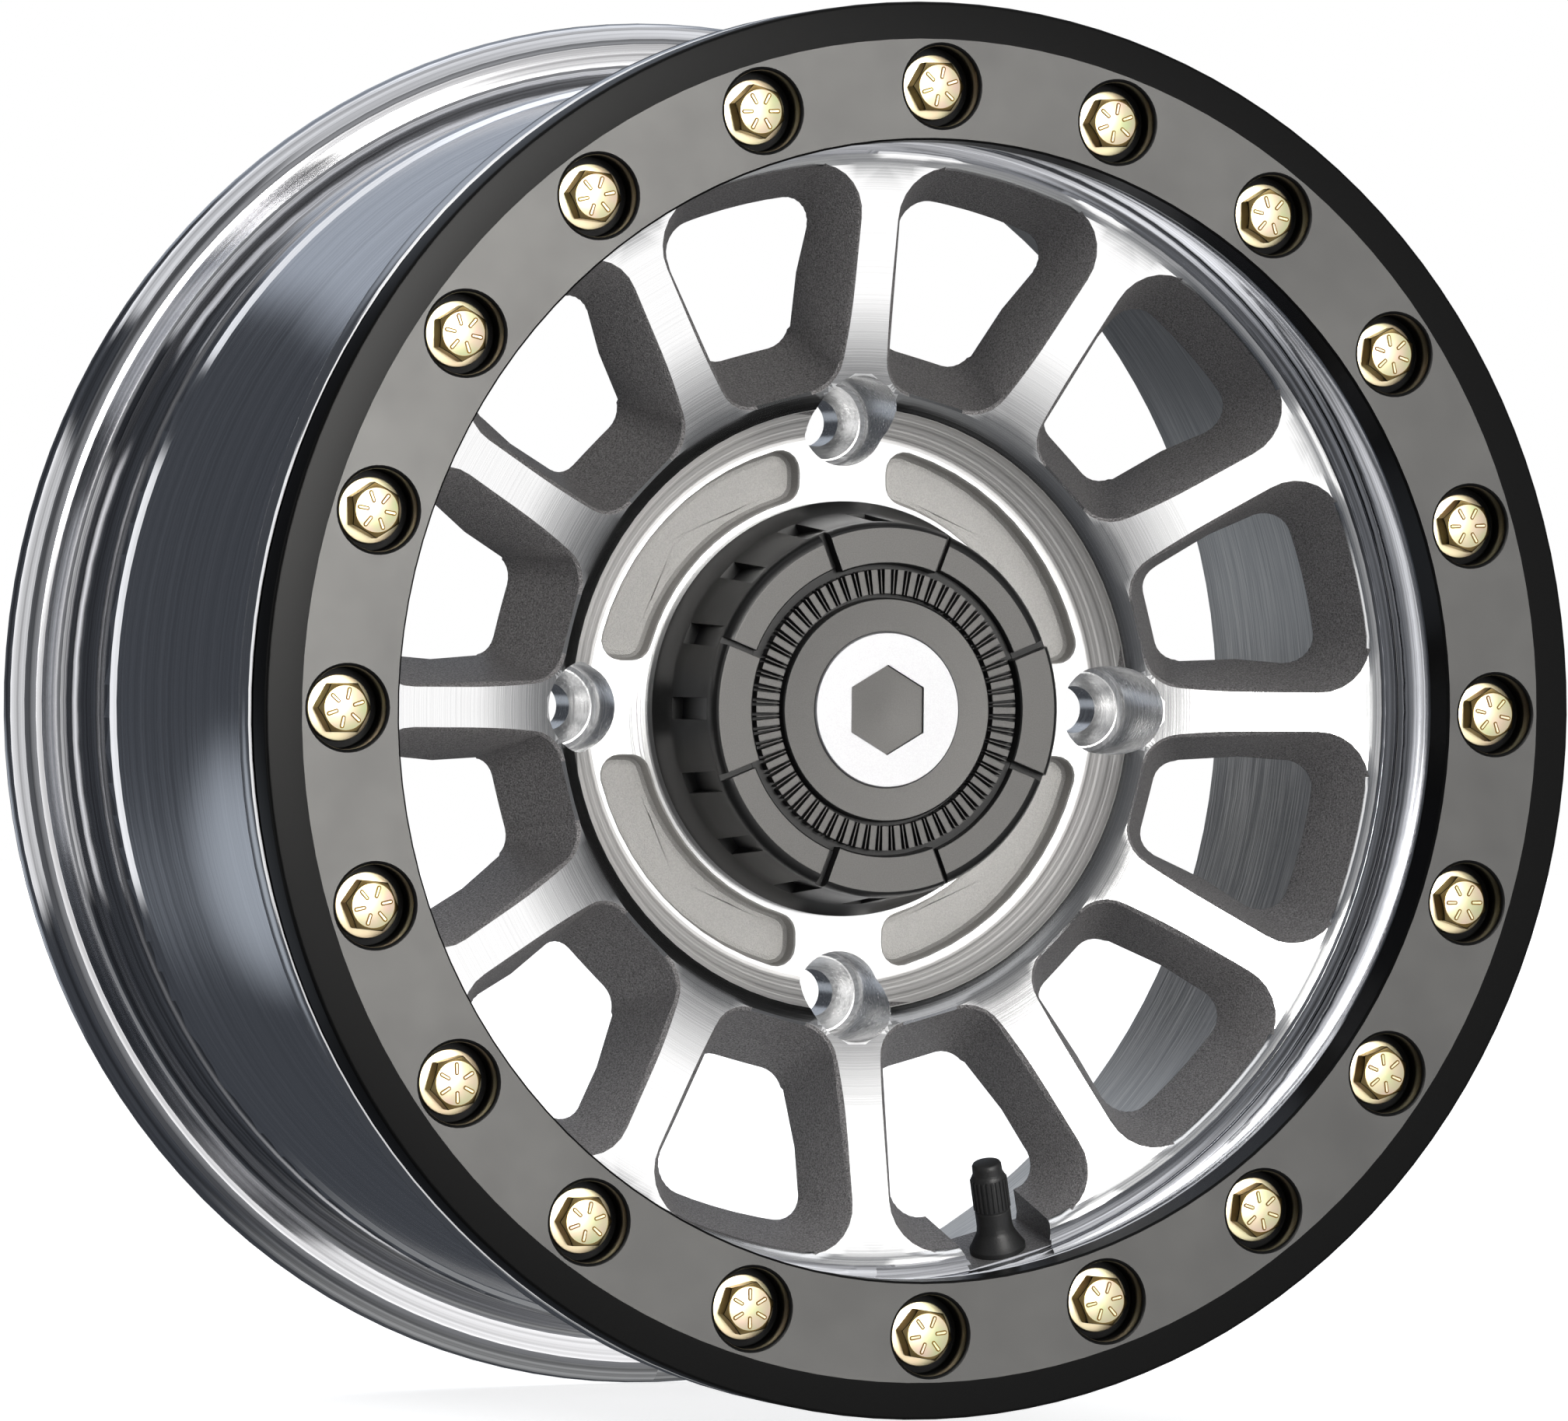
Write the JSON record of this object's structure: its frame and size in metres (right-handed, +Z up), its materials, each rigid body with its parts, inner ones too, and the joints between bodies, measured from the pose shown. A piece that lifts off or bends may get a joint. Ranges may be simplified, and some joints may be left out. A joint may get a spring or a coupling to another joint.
{
  "type": "beadlock wheel",
  "caption": "Twelve-spoke cast wheel with an outer bead clamping ring, hex bolts, a press-in centre cap and a snap-in tyre valve.",
  "frame": {"origin": "centre of the hub's mounting face, on the wheel's axis", "axes": "+Y along the wheel's axis towards the vehicle, -Y towards the street side, +Z up, +X to the right seen from the street"},
  "size_m": [0.3875, 0.2054, 0.3876],
  "materials": {
    "wheel_metal": "machined and polished",
    "ring_metal": "dark anodised, satin",
    "bolt_zinc": "yellow zinc",
    "washer_zinc": "yellow zinc",
    "insert_steel": "plain steel",
    "cap_plastic": "satin black",
    "inlay_silver": "satin silver",
    "wire_steel": "spring wire",
    "valve_rubber": "black rubber",
    "stem_brass": "plain brass",
    "core_brass": "plain brass",
    "pin_brass": "plain brass",
    "spring_steel": "spring steel",
    "seal_rubber": "red rubber",
    "valve_cap_plastic": "black plastic",
    "cap_seal_rubber": "red rubber"
  },
  "bodies": {
    "wheel": {"wheel_casting": "wheel_metal", "beadlock_ring": "ring_metal", "ring_bolts": "bolt_zinc", "ring_washers": "washer_zinc", "thread_inserts": "insert_steel", "valve_body": "valve_rubber", "valve_stem": "stem_brass", "valve_core_housing": "core_brass", "valve_core_spring": "spring_steel"},
    "cap": {"center_cap": "cap_plastic", "cap_inlay": "inlay_silver", "cap_retaining_ring": "wire_steel"},
    "valve_pin": {"valve_core_pin": "pin_brass", "valve_core_seal": "seal_rubber"},
    "valve_dust_cap": {"valve_cap": "valve_cap_plastic", "valve_cap_seal": "cap_seal_rubber"}
  },
  "joints": [
    {"name": "cap_pull", "type": "slide", "parent": "wheel", "child": "cap", "axis": [0, -1, 0], "range_m": [0, 0.03]},
    {"name": "valve_cap_pull", "type": "slide", "parent": "wheel", "child": "valve_dust_cap", "axis": [-0.2511, -0.2419, 0.9372], "range_m": [0, 0.014]},
    {"name": "valve_pin_press", "type": "slide", "parent": "wheel", "child": "valve_pin", "axis": [0.2511, 0.2419, -0.9372], "range_m": [0, 0.0012], "stiffness_N_per_m": 600, "springref_m": -0.003, "deforming": ["valve_core_spring"]}
  ]
}
